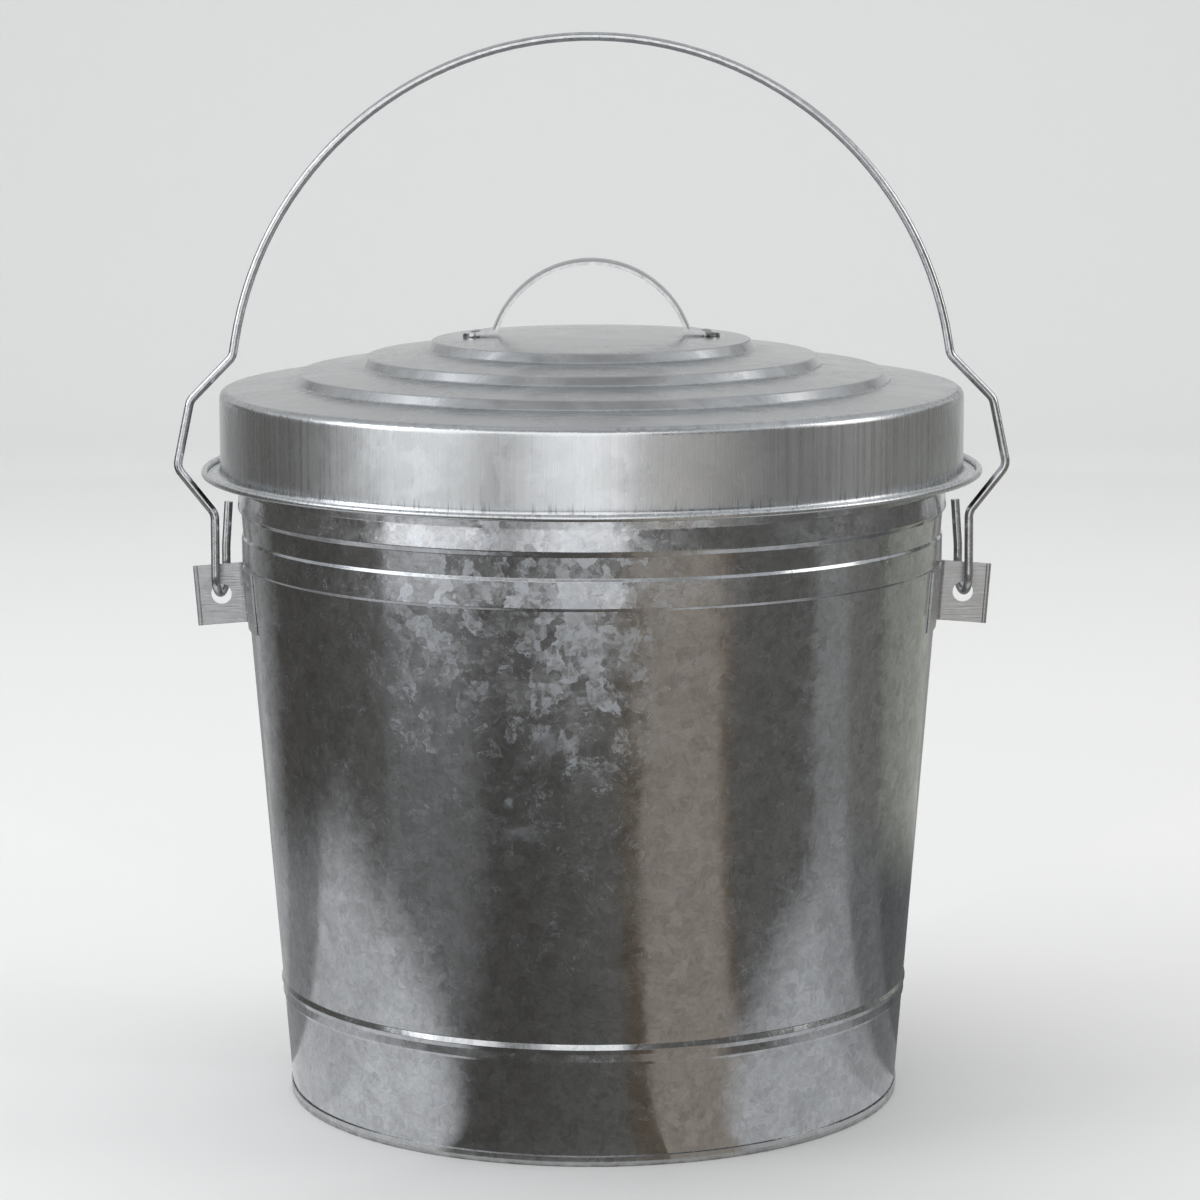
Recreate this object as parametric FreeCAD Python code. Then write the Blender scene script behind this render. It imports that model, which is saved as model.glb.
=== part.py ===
import FreeCAD, Part
import math
import os

# Galvanized trash can with a lift-off lid and a locking wire bail.
# Millimetres, +Z up. The origin is the centre of the base where it meets the floor,
# the can's axis is Z, the bail's ears lie on the X axis and the front is towards -Y.

V = FreeCAD.Vector
AXIS_Z = V(0, 0, 1)
SHARPEST_BEND = 0.1          # no corner of a bent sheet is sharper than this

# Can body: a tapered sheet-steel wall with its mouth rolled over a wire
WALL_T = 0.7                 # wall sheet
BASE_R = 144.5               # outer radius of the wall, run down to the floor
TAPER = 0.0765               # radius gained per millimetre of height
SHOULDER_Z = 255.0           # where the tapered part meets the upper bands
SHOULDER_R = 0.5
WALL_LOW_Z = 0.9             # the wall's edge stands inside the fold of the bottom
LOW_BEAD_Z = 47.8            # the lower bead starts here
LOW_BEAD = (                 # its line: height above the start, how far it stands out, bend radius
    (0.0, 0.0, 0.5),
    (1.2, 0.65, 0.5),
    (4.9, 0.15, 0.6),
    (6.9, 0.90, 0.8),
    (9.5, 0.0, 1.5),
)
UPPER_BANDS = [              # the line of the two upper bands: radius, height, bend radius
    (165.1, 256.2, 0.6),
    (165.2, 268.1, 0.4),
    (164.5, 269.4, 0.4),
    (165.2, 279.0, 1.0),
    (166.9, 281.3, 0.9),
]
NECK_R = 166.0               # straight neck inside the lid
NECK_Z = 291.0               # where the neck becomes straight
NECK_BEND_R = 8.0
MOUTH_WIRE_R = 2.2           # reinforcing wire inside the rolled mouth
ROLL_FIT = 0.05              # the sheet lies this close round the wire
ROLL_END = -138.0            # the roll's edge stops here, counted from outwards
LOCK_SEAM_W = 7.0            # width of the folded seam down the back
LOCK_SEAM_T = 0.7            # how far that fold stands proud
LOCK_SEAM_SUNK = 0.1         # its strip starts this deep in the wall, so that the two join
LOCK_SEAM_CLEAR = 0.6        # it stops this far above the folded bottom
LOCK_SEAM_TOP_CLEAR = 1.0    # and this far under the rolled mouth

# Bottom: a pressed pan whose edge is folded round the end of the wall
PAN_T = 0.6
PAN_Z = 7.0                  # upper face of the pan, above the floor
PAN_BEND_R = 1.5
HEM_TOP_Z = 4.6              # the outer fold ends here
HEM_GAP = 0.95               # the fold is this wide inside, for the wall's edge
HEM_FIT = 0.1                # between the wall and the inner leg of the fold
HEM_BEND_R = 0.2             # tight bends leave a narrow flat ring to stand on

# Lid: one pressing with three steps, a deep skirt and a rolled brim
LID_T = 0.6
LID_TOP_Z = 361.6
LID_R = 174.7                # outer radius of the skirt
BRIM_R = 183.6               # outer radius of the rolled brim
BRIM_ROLL_R = 1.5
BRIM_FLOOR_Z = 297.4         # upper face of the flat part of the brim
BRIM_BEND_R = 2.7            # between the skirt and the brim
SHOULDER_BEND_R = 3.6        # between the top and the skirt
BRIM_ROLL_END = 205.0        # the roll's edge stops here, counted from outwards
LID_GAP = 0.35               # the lid rests this far above the rolled mouth in the model
LID_STEPS = (                # each step: foot radius, foot height
    (77.3, 354.5),
    (108.2, 347.3),
    (140.1, 340.0),
)
STEP_RISE = 4.3              # height of a riser
STEP_RUN = 2.7               # width of a riser seen from above
STEP_FILLET = 1.2
CROWN_X = 37.2               # the middle of the lid is a very shallow dome, bent most here
CROWN_BEND_R = 950.0
SHOULDER_CORNER_Z = 336.2    # the top and the skirt would meet here without their round
LID_OVER_MOUTH_Z = 336.85    # upper side of the lid right over the rolled mouth

# Lid handle: a crowned strap arched over the middle, riveted down at both feet
STRAP_W = 15.0
STRAP_T = 1.6
STRAP_CROWN = 1.3            # the arch's middle line stands this much above its edges
STRAP_ARCH_R = 49.2
STRAP_TOP_Z = 396.7
STRAP_ROOT_DEG = 18.9        # where the arch ends, above its own centre
STRAP_ROOT_X = 44.0          # inner end of each flat foot
STRAP_END_X = 60.5
FOOT_RISE = 2.4              # each foot climbs this much from its tip to its root
FOOT_GAP = 0.25              # the tip rides this far above the lid
RIVET_X = 54.0
RIVET_SHANK_R = 1.6
RIVET_HEAD_R = 2.6
RIVET_HEAD_H = 0.75
RIVET_TAIL_R = 2.6
RIVET_TAIL_H = 0.8
RIVET_FIT = 0.05
RIVET_TAIL_GAP = 0.25        # the tail stays this far under the lid's sheet

# Ears: a strip folded double, its two ends spread and welded to the wall
EAR_SHEET_T = 0.95
EAR_H = 28.5
EAR_OUT_X = 188.2            # outer edge of the plate
EAR_HOLE_X = 175.9
EAR_HOLE_Z = 239.0
EAR_HOLE_R = 4.9
EAR_FOOT_W = 46.0            # reach of each welded foot along the wall
EAR_WELD_GAP = 0.12          # between the feet and the wall in the model
EAR_PINCH = 0.1              # half the gap that is left where the feet spread
EAR_BEND_R = 2.6
EAR_FOLD_R = 1.35            # the fold at the outer edge stays a little open

# Bail: one bent wire, hooked through both ears
WIRE_R = 2.05
HOOK_REACH = 8.8             # each leg stands this far in front of or behind the ear
HOOK_OFFSET = 3.6            # the return leg sits this much nearer the can
HOOK_DROP = 0.4              # the wire crosses the ear this far under the hole's centre
RETURN_TOP_Z = 281.0         # tip of the return leg
RETURN_LEAN = 1.6            # the tip leans this much towards the can
RETURN_BEND_Z = 259.0        # from a soft bend at this height
RETURN_BEND_R = 30.0
ARCH_R = 169.2
ARCH_TOP_Z = 499.6
ARCH_END_DEG = 9.5           # the arch stops this far above its own centre
ARCH_TAIL = 6.8              # straight run from there to the kink
BAIL_SHOULDER = (188.2, 331.0)   # corners of the kinks: out past the lid's shoulder,
BAIL_BELLY = (194.9, 299.5)      # down past its brim
BAIL_WAIST = (177.5, 277.4)      # and back in to the ear
KINK_BEND_R = 6.0
BEND_R = 7.0


def wall_r(z):
    """Outer radius of the tapered wall at height z."""
    return BASE_R + TAPER * z


def rounded_edges(points):
    """Edges of a line through (x, z, bend radius) points, with tangent arcs at its corners."""
    edges = []
    last = V(points[0][0], 0, points[0][1])
    for before, here, after in zip(points, points[1:], points[2:]):
        corner = V(here[0], 0, here[1])
        back = (V(before[0], 0, before[1]) - corner).normalize()
        ahead = (V(after[0], 0, after[1]) - corner).normalize()
        half_turn = (math.pi - back.getAngle(ahead)) / 2
        cut = here[2] * math.tan(half_turn)
        middle = (back + ahead).normalize()
        depth = here[2] / math.cos(half_turn) - here[2]
        start = corner + back * cut
        end = corner + ahead * cut
        if (start - last).Length > 1e-6:
            edges.append(Part.LineSegment(last, start).toShape())
        edges.append(Part.Arc(start, corner + middle * depth, end).toShape())
        last = end
    edges.append(Part.LineSegment(last, V(points[-1][0], 0, points[-1][1])).toShape())
    return edges


def offset_points(points, t):
    """The same line moved by t to its left, with its bend radii changed to match."""
    count = len(points)
    normals = []
    for a, b in zip(points, points[1:]):
        length = math.hypot(b[0] - a[0], b[1] - a[1])
        normals.append((-(b[1] - a[1]) / length, (b[0] - a[0]) / length))
    moved = [(points[0][0] + t * normals[0][0], points[0][1] + t * normals[0][1], 0)]
    for i in range(1, count - 1):
        n0, n1 = normals[i - 1], normals[i]
        scale = t / (1 + n0[0] * n1[0] + n0[1] * n1[1])
        turn = n0[0] * n1[1] - n0[1] * n1[0]
        radius = max(SHARPEST_BEND, points[i][2] - t * math.copysign(1, turn))
        moved.append((points[i][0] + scale * (n0[0] + n1[0]),
                      points[i][1] + scale * (n0[1] + n1[1]), radius))
    last = normals[-1]
    moved.append((points[-1][0] + t * last[0], points[-1][1] + t * last[1], 0))
    return moved


def arc(centre, radius, start_deg, end_deg):
    """Arc in the XZ plane, by its centre, radius and end angles."""
    angles = [math.radians(a) for a in (start_deg, (start_deg + end_deg) / 2, end_deg)]
    ends = [V(centre[0] + radius * math.cos(a), 0, centre[1] + radius * math.sin(a)) for a in angles]
    return Part.Arc(*ends).toShape()


def line(a, b):
    """Straight edge between two (x, z) points."""
    return Part.LineSegment(V(a[0], 0, a[1]), V(b[0], 0, b[1])).toShape()


def face_from(edges):
    """Face inside a closed ring of edges."""
    return Part.Face(Part.Wire(Part.__sortEdges__(edges)))


def spin(face, degrees=360.0):
    """Solid made by turning a face about the can's axis."""
    return face.revolve(V(0, 0, 0), AXIS_Z, degrees)


def sheet_face(points, t):
    """Face of a bent sheet: a line of points and its offset by t."""
    other = offset_points(points, t)
    edges = rounded_edges(points) + rounded_edges(other)
    edges += [line(points[0], other[0]), line(points[-1], other[-1])]
    return face_from(edges)


MOUTH_ROLL_R = MOUTH_WIRE_R + ROLL_FIT + WALL_T
MOUTH_ROLL_X = NECK_R - WALL_T + MOUTH_ROLL_R
MOUTH_ROLL_Z = LID_OVER_MOUTH_Z - LID_T - LID_GAP - MOUTH_ROLL_R


def wall_line():
    """Outside of the wall from its lower end to the start of the mouth roll."""
    line_points = [(wall_r(WALL_LOW_Z), WALL_LOW_Z, 0)]
    for rise, out, bend in LOW_BEAD:
        line_points.append((wall_r(LOW_BEAD_Z + rise) + out, LOW_BEAD_Z + rise, bend))
    line_points.append((wall_r(SHOULDER_Z), SHOULDER_Z, SHOULDER_R))
    line_points += UPPER_BANDS
    line_points.append((NECK_R, NECK_Z, NECK_BEND_R))
    line_points.append((NECK_R, MOUTH_ROLL_Z, 0))
    return line_points


def side_wall():
    """Tapered wall with its beads, the mouth rolled outwards and the folded seam at the back."""
    outside = wall_line()
    inside = offset_points(outside, WALL_T)
    roll = (MOUTH_ROLL_X, MOUTH_ROLL_Z)
    inner_r = MOUTH_ROLL_R - WALL_T
    tip = math.radians(ROLL_END)
    edges = rounded_edges(outside) + rounded_edges(inside)
    edges.append(arc(roll, inner_r, 180, ROLL_END))
    edges.append(arc(roll, MOUTH_ROLL_R, 180, ROLL_END))
    edges.append(line((roll[0] + inner_r * math.cos(tip), roll[1] + inner_r * math.sin(tip)),
                      (roll[0] + MOUTH_ROLL_R * math.cos(tip), roll[1] + MOUTH_ROLL_R * math.sin(tip))))
    edges.append(line(outside[0], inside[0]))
    wall = spin(face_from(edges))
    return wall.fuse(lock_seam(outside)).removeSplitter()


def lock_seam(outside):
    """Folded seam that closes the wall, a strip standing proud of the back."""
    low_z = HEM_TOP_Z + LOCK_SEAM_CLEAR
    strip = [(wall_r(low_z), low_z, 0)] + outside[1:-1]
    strip.append((NECK_R, MOUTH_ROLL_Z - MOUTH_ROLL_R - LOCK_SEAM_TOP_CLEAR, 0))
    base = offset_points(strip, LOCK_SEAM_SUNK)
    face = sheet_face(base, -(LOCK_SEAM_SUNK + LOCK_SEAM_T))
    angle = math.degrees(LOCK_SEAM_W / wall_r(SHOULDER_Z / 2))
    seam = spin(face, angle)
    seam.rotate(V(0, 0, 0), AXIS_Z, 90 - angle / 2)
    return seam


def mouth_wire():
    """Steel ring that stiffens the rolled mouth."""
    return Part.makeTorus(MOUTH_ROLL_X, MOUTH_WIRE_R, V(0, 0, MOUTH_ROLL_Z), AXIS_Z)


def bottom_pan():
    """Pressed bottom, with its edge turned down inside the wall and folded up outside it."""
    wall_low_r = wall_r(WALL_LOW_Z)
    inner_leg = wall_low_r - WALL_T - HEM_FIT
    outer_leg = inner_leg + HEM_GAP
    points = [
        (0, PAN_Z, 0),
        (inner_leg, PAN_Z, PAN_BEND_R),
        (inner_leg, PAN_T, HEM_BEND_R),
        (outer_leg, PAN_T, HEM_BEND_R),
        (outer_leg + TAPER * (HEM_TOP_Z - PAN_T), HEM_TOP_Z, 0),
    ]
    return spin(sheet_face(points, -PAN_T))


def lid_line():
    """Upper side of the lid, from its middle to where the brim starts to roll."""
    points = [(0, LID_TOP_Z, 0), (CROWN_X, LID_TOP_Z, CROWN_BEND_R)]
    for foot_r, foot_z in LID_STEPS:
        points.append((foot_r - STEP_RUN, foot_z + STEP_RISE, STEP_FILLET))
        points.append((foot_r, foot_z, STEP_FILLET))
    points += [
        (LID_R, SHOULDER_CORNER_Z, SHOULDER_BEND_R),
        (LID_R, BRIM_FLOOR_Z, BRIM_BEND_R),
        (BRIM_R - BRIM_ROLL_R, BRIM_FLOOR_Z, 0),
    ]
    return points


def lid_shell():
    """Stepped lid with its skirt and a brim rolled up and in round its edge."""
    top = lid_line()
    under = offset_points(top, -LID_T)
    roll = (BRIM_R - BRIM_ROLL_R, BRIM_FLOOR_Z - LID_T + BRIM_ROLL_R)
    inner_r = BRIM_ROLL_R - LID_T
    tip = math.radians(BRIM_ROLL_END)
    edges = rounded_edges(top) + rounded_edges(under)
    edges.append(arc(roll, inner_r, -90, BRIM_ROLL_END))
    edges.append(arc(roll, BRIM_ROLL_R, -90, BRIM_ROLL_END))
    edges.append(line((roll[0] + inner_r * math.cos(tip), roll[1] + inner_r * math.sin(tip)),
                      (roll[0] + BRIM_ROLL_R * math.cos(tip), roll[1] + BRIM_ROLL_R * math.sin(tip))))
    edges.append(line(top[0], under[0]))
    shell = spin(face_from(edges))
    for side in (-1, 1):
        shell = shell.cut(rivet_hole(side))
    return shell


def crown_z(x):
    """Height of the lid's upper side at a distance x from its middle, inside the first step."""
    return LID_TOP_Z - x ** 2 / (2 * CROWN_BEND_R)


FOOT_SLOPE = FOOT_RISE / (STRAP_END_X - STRAP_ROOT_X)
FOOT_TIP_Z = crown_z(STRAP_END_X) + FOOT_GAP


def strap_arch():
    """Arch of the strap: a crowned section turned about the arch's centre."""
    half = STRAP_W / 2
    edge_z = STRAP_TOP_Z - STRAP_CROWN
    outer = Part.Arc(V(0, -half, edge_z), V(0, 0, STRAP_TOP_Z), V(0, half, edge_z)).toShape()
    inner = outer.translated(V(0, 0, -STRAP_T))
    sides = [Part.LineSegment(V(0, y, edge_z), V(0, y, edge_z - STRAP_T)).toShape() for y in (-half, half)]
    section = face_from([outer, inner] + sides)
    centre = V(0, 0, STRAP_TOP_Z - STRAP_ARCH_R)
    section.rotate(centre, V(0, 1, 0), 90 - STRAP_ROOT_DEG)
    return section.revolve(centre, V(0, -1, 0), 180 - 2 * STRAP_ROOT_DEG)


def strap_foot(side):
    """Flat foot with a rounded end, sloping down a little to its tip."""
    root_z = FOOT_TIP_Z + FOOT_SLOPE * (STRAP_END_X - STRAP_ROOT_X)
    plate = sheet_face([(STRAP_ROOT_X, root_z, 0), (STRAP_END_X, FOOT_TIP_Z, 0)], STRAP_T)
    plate = plate.extrude(V(0, STRAP_W, 0))
    plate.translate(V(0, -STRAP_W / 2, 0))
    end_x = STRAP_END_X - STRAP_W / 2
    below = V(0, -STRAP_W / 2, FOOT_TIP_Z - STRAP_W)
    outline = Part.makeBox(end_x, STRAP_W, 2 * STRAP_W, below)
    outline = outline.fuse(Part.makeCylinder(STRAP_W / 2, 2 * STRAP_W, V(end_x, 0, below.z), AXIS_Z))
    plate = plate.common(outline)
    if side < 0:
        plate.rotate(V(0, 0, 0), AXIS_Z, 180)
    return plate


def lid_handle():
    """Strap handle: a crowned arch with a flat, riveted foot at each end."""
    handle = strap_arch().fuse([strap_foot(-1), strap_foot(1)]).removeSplitter()
    for side in (-1, 1):
        handle = handle.cut(rivet_hole(side))
    return handle


def rivet_frame(side):
    """Point on the lid under a foot's rivet and the direction in which the rivet stands."""
    tilt = math.atan(FOOT_SLOPE)
    return V(side * RIVET_X, 0, crown_z(RIVET_X)), V(side * math.sin(tilt), 0, math.cos(tilt))


def rivet_hole(side):
    """Cutter for the hole that a handle rivet goes through."""
    foot, up = rivet_frame(side)
    return Part.makeCylinder(RIVET_SHANK_R + RIVET_FIT, STRAP_W, foot - up * STRAP_W / 2, up)


def rivet_profile(head_at, tail_at):
    """Half section of a rivet: flattened tail, shank and low round head."""
    tail_low = tail_at - RIVET_TAIL_H
    dome_r = (RIVET_HEAD_R ** 2 + RIVET_HEAD_H ** 2) / (2 * RIVET_HEAD_H)
    spread = math.degrees(math.asin(RIVET_HEAD_R / dome_r))
    corners = [
        (0, head_at + RIVET_HEAD_H),
        (0, tail_low),
        (RIVET_TAIL_R, tail_low),
        (RIVET_TAIL_R, tail_at),
        (RIVET_SHANK_R, tail_at),
        (RIVET_SHANK_R, head_at),
        (RIVET_HEAD_R, head_at),
    ]
    edges = [line(a, b) for a, b in zip(corners, corners[1:])]
    edges.append(arc((0, head_at + RIVET_HEAD_H - dome_r), dome_r, 90 - spread, 90))
    return face_from(edges)


def lid_handle_rivets():
    """Two rivets: a low round head on the foot and a flattened tail under the lid."""
    rivets = []
    for side in (-1, 1):
        foot, up = rivet_frame(side)
        foot_top = FOOT_TIP_Z + STRAP_T + FOOT_SLOPE * (STRAP_END_X - RIVET_X)
        head_at = (foot_top - foot.z) / up.z + RIVET_FIT
        rivet = spin(rivet_profile(head_at, -(LID_T + RIVET_TAIL_GAP)))
        rivet.rotate(V(0, 0, 0), V(0, 1, 0), side * math.degrees(math.atan(FOOT_SLOPE)))
        rivet.translate(foot)
        rivets.append(rivet)
    return Part.makeCompound(rivets)


def ear_profile(wall):
    """Section of an ear seen along its fold: outward is x, along the wall is z."""
    inner = wall + EAR_WELD_GAP
    outer = inner + EAR_SHEET_T
    reach = math.degrees(math.asin(EAR_FOOT_W / wall))
    bend_start = math.degrees(math.asin((EAR_SHEET_T + EAR_BEND_R) / outer))
    inner_bend = EAR_BEND_R + EAR_SHEET_T
    inner_start = math.degrees(math.asin((EAR_PINCH + inner_bend) / inner))
    tip_x = EAR_OUT_X - EAR_FOLD_R
    edges = [line((inner + inner_bend, -EAR_PINCH), (inner + inner_bend, EAR_PINCH))]
    for side in (-1, 1):
        foot_out = (outer * math.cos(math.radians(reach)), side * outer * math.sin(math.radians(reach)))
        foot_in = (inner * math.cos(math.radians(reach)), side * inner * math.sin(math.radians(reach)))
        root = (outer * math.cos(math.radians(bend_start)), side * (EAR_SHEET_T + EAR_BEND_R))
        plate_at = (root[0] + EAR_BEND_R, side * EAR_SHEET_T)
        in_root = (inner * math.cos(math.radians(inner_start)), side * (EAR_PINCH + inner_bend))
        edges.append(line(foot_in, foot_out))
        edges.append(arc((0, 0), outer, side * reach, side * bend_start))
        edges.append(quarter(root, plate_at, (root[0] + EAR_BEND_R, side * (EAR_SHEET_T + EAR_BEND_R))))
        fold_x = tip_x - math.sqrt(EAR_FOLD_R ** 2 - EAR_SHEET_T ** 2)
        edges.append(line(plate_at, (fold_x, side * EAR_SHEET_T)))
        edges.append(arc((0, 0), inner, side * reach, side * inner_start))
        edges.append(quarter(in_root, (inner + inner_bend, side * EAR_PINCH),
                             (inner + inner_bend, side * (EAR_PINCH + inner_bend))))
    fold_from = math.degrees(math.asin(EAR_SHEET_T / EAR_FOLD_R))
    edges.append(arc((tip_x, 0), EAR_FOLD_R, -(180 - fold_from), 180 - fold_from))
    return face_from(edges)


def quarter(a, b, corner_centre):
    """Arc from a to b about a centre that is close to equally far from both."""
    ax, az = a[0] - corner_centre[0], a[1] - corner_centre[1]
    bx, bz = b[0] - corner_centre[0], b[1] - corner_centre[1]
    mx, mz = ax + bx, az + bz
    scale = math.hypot(bx, bz) / math.hypot(mx, mz)
    middle = V(corner_centre[0] + mx * scale, 0, corner_centre[1] + mz * scale)
    return Part.Arc(V(a[0], 0, a[1]), middle, V(b[0], 0, b[1])).toShape()


def ear(side):
    """Ear with its hole, tilted to stand square on the tapered wall."""
    section = ear_profile(wall_r(EAR_HOLE_Z))
    section.rotate(V(0, 0, 0), V(1, 0, 0), 90)
    plate = section.extrude(V(0, 0, EAR_H))
    plate.translate(V(0, 0, EAR_HOLE_Z - EAR_H / 2))
    hole = Part.makeCylinder(EAR_HOLE_R, EAR_H, V(EAR_HOLE_X, -EAR_H / 2, EAR_HOLE_Z), V(0, 1, 0))
    plate = plate.cut(hole)
    plate.rotate(V(wall_r(EAR_HOLE_Z), 0, EAR_HOLE_Z), V(0, 1, 0), math.degrees(math.atan(TAPER)))
    if side < 0:
        plate.rotate(V(0, 0, 0), AXIS_Z, 180)
    return plate


HOOK_R = math.hypot(HOOK_REACH, HOOK_OFFSET / 2)
PIVOT_Z = EAR_HOLE_Z - HOOK_DROP + HOOK_R


def bail_half(side):
    """Wire edges of one side of the bail, from the arch's end down to the tip of the hook."""
    centre_z = ARCH_TOP_Z - ARCH_R
    rise = math.radians(ARCH_END_DEG)
    arch_end = (ARCH_R * math.cos(rise), centre_z + ARCH_R * math.sin(rise))
    kink = (arch_end[0] + ARCH_TAIL * math.sin(rise), arch_end[1] - ARCH_TAIL * math.cos(rise))
    leg_x = EAR_HOLE_X + HOOK_OFFSET / 2
    back_x = EAR_HOLE_X - HOOK_OFFSET / 2
    points = [
        (arch_end[0], arch_end[1], 0),
        (kink[0], kink[1], KINK_BEND_R),
        (BAIL_SHOULDER[0], BAIL_SHOULDER[1], BEND_R),
        (BAIL_BELLY[0], BAIL_BELLY[1], BEND_R),
        (BAIL_WAIST[0], BAIL_WAIST[1], BEND_R),
        (leg_x, PIVOT_Z, 0),
    ]
    edges = rounded_edges([(side * x, z, r) for x, z, r in points])
    for edge in edges:
        edge.translate(V(0, -HOOK_REACH, 0))
    low = V(side * EAR_HOLE_X, 0, PIVOT_Z - HOOK_R)
    front = V(side * leg_x, -HOOK_REACH, PIVOT_Z)
    back = V(side * back_x, HOOK_REACH, PIVOT_Z)
    edges.append(Part.Arc(front, low, back).toShape())
    leg = [(side * back_x, PIVOT_Z, 0), (side * back_x, RETURN_BEND_Z, RETURN_BEND_R),
           (side * (back_x - RETURN_LEAN), RETURN_TOP_Z, 0)]
    for edge in rounded_edges(leg):
        edge.translate(V(0, HOOK_REACH, 0))
        edges.append(edge)
    return edges


def bail():
    """Bent wire: arch, two kinks that hold the lid down, and a hook through each ear."""
    centre = (0, ARCH_TOP_Z - ARCH_R)
    arch = arc(centre, ARCH_R, ARCH_END_DEG, 180 - ARCH_END_DEG)
    arch.translate(V(0, -HOOK_REACH, 0))
    left = bail_half(-1)
    right = bail_half(1)
    path = Part.Wire(Part.__sortEdges__(left + [arch] + right))
    start = path.OrderedVertexes[0].Point
    ahead = (path.OrderedVertexes[1].Point - start).normalize()
    circle = Part.Wire(Part.Circle(start, ahead, WIRE_R).toShape())
    return path.makePipeShell([circle], True, False, 0)


NODES = {
    "side_wall": side_wall,
    "bottom_pan": bottom_pan,
    "mouth_wire": mouth_wire,
    "left_ear": lambda: ear(-1),
    "right_ear": lambda: ear(1),
    "lid_shell": lid_shell,
    "lid_handle": lid_handle,
    "lid_handle_rivets": lid_handle_rivets,
    "bail": bail,
}

os.makedirs("parts", exist_ok=True)
for node, make in NODES.items():
    shape = make()
    shape.exportStep("parts/" + node + ".step")
    box = shape.BoundBox
    print(node, "valid", shape.isValid(), "solids", len(shape.Solids), "volume", round(shape.Volume, 1),
          "z", round(box.ZMin, 2), round(box.ZMax, 2), "x", round(box.XMin, 2), round(box.XMax, 2))
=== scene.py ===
import math

import bpy
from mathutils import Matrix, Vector


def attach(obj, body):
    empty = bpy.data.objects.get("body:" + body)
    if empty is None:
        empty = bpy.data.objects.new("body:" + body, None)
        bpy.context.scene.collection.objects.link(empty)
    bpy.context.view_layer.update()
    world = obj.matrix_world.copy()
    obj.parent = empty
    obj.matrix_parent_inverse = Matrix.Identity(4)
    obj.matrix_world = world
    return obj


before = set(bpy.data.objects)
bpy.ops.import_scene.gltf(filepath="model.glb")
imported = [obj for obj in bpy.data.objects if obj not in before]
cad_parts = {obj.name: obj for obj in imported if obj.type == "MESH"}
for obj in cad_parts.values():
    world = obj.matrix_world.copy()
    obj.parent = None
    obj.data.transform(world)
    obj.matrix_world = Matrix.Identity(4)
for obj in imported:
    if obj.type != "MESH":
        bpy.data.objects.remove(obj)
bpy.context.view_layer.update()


# ---------------------------------------------------------------------------
# Studio: a pale floor that runs up into a backdrop behind the can, and a camera
# at the height and distance from which the can is seen.
# ---------------------------------------------------------------------------
camera_data = bpy.data.cameras.new("camera")
camera_data.lens = 121.57
camera_data.sensor_width = 36.0
camera_data.shift_x = 0.0082
camera_data.clip_end = 50.0
camera = bpy.data.objects.new("camera", camera_data)
camera.location = (0.0, -1.9, 0.5338)
camera.rotation_euler = (math.radians(90 - 8.955), math.radians(0.183), 0.0)
bpy.context.collection.objects.link(camera)
bpy.context.scene.camera = camera
bpy.context.scene.view_settings.view_transform = "Standard"

FLOOR_NEAR, FLOOR_FAR, FLOOR_COVE, FLOOR_TOP, FLOOR_HALF = -4.0, 2.6, 0.9, 4.0, 5.0
COVE_STEPS = 16
floor_line = [(FLOOR_NEAR, 0.0)]
for step in range(COVE_STEPS + 1):
    turn = math.pi / 2 * step / COVE_STEPS
    floor_line.append((FLOOR_FAR + FLOOR_COVE * math.sin(turn), FLOOR_COVE - FLOOR_COVE * math.cos(turn)))
floor_line.append((FLOOR_FAR + FLOOR_COVE, FLOOR_TOP))
floor_mesh = bpy.data.meshes.new("floor")
floor_mesh.from_pydata([(x, y, z) for y, z in floor_line for x in (-FLOOR_HALF, FLOOR_HALF)], [],
                       [(2 * i, 2 * i + 1, 2 * i + 3, 2 * i + 2) for i in range(len(floor_line) - 1)])
floor_mesh.shade_smooth()
floor = bpy.data.objects.new("floor", floor_mesh)
bpy.context.collection.objects.link(floor)
floor_paint = bpy.data.materials.new("floor_paint")
floor_paint.use_nodes = True
floor_shader = floor_paint.node_tree.nodes["Principled BSDF"].inputs
floor_shader["Base Color"].default_value = (0.80, 0.79, 0.775, 1)
floor_shader["Roughness"].default_value = 0.75
floor.data.materials.append(floor_paint)


# ---------------------------------------------------------------------------
# Light: a soft box overhead and one at each side, and a pale cool room.
# ---------------------------------------------------------------------------
room = bpy.data.worlds.new("studio")
bpy.context.scene.world = room
room.use_nodes = True
room_air = room.node_tree.nodes["Background"].inputs
room_air["Color"].default_value = (0.93, 0.965, 1.0, 1)
room_air["Strength"].default_value = 0.70
CAN_MIDDLE = Vector((0, 0, 0.3))


def soft_box(name, place, width, height, watts, colour, in_gloss=True):
    """Rectangular lamp turned towards the can, which polished metal may or may not show."""
    data = bpy.data.lights.new(name, "AREA")
    data.shape = "RECTANGLE"
    data.size, data.size_y = width, height
    data.energy = watts
    data.color = colour
    lamp = bpy.data.objects.new(name, data)
    lamp.location = place
    lamp.rotation_euler = (CAN_MIDDLE - Vector(place)).to_track_quat("-Z", "Y").to_euler()
    lamp.visible_glossy = in_gloss
    bpy.context.collection.objects.link(lamp)


soft_box("lamp_top", (-0.4, 0.7, 2.7), 3.4, 2.6, 38, (1.0, 1.0, 1.0), in_gloss=False)
soft_box("lamp_left", (-2.5, -0.8, 1.4), 1.6, 1.8, 20, (0.93, 0.96, 1.0))
soft_box("lamp_right", (2.6, -0.2, 1.3), 1.2, 1.6, 13, (1.0, 0.98, 0.94))


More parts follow.
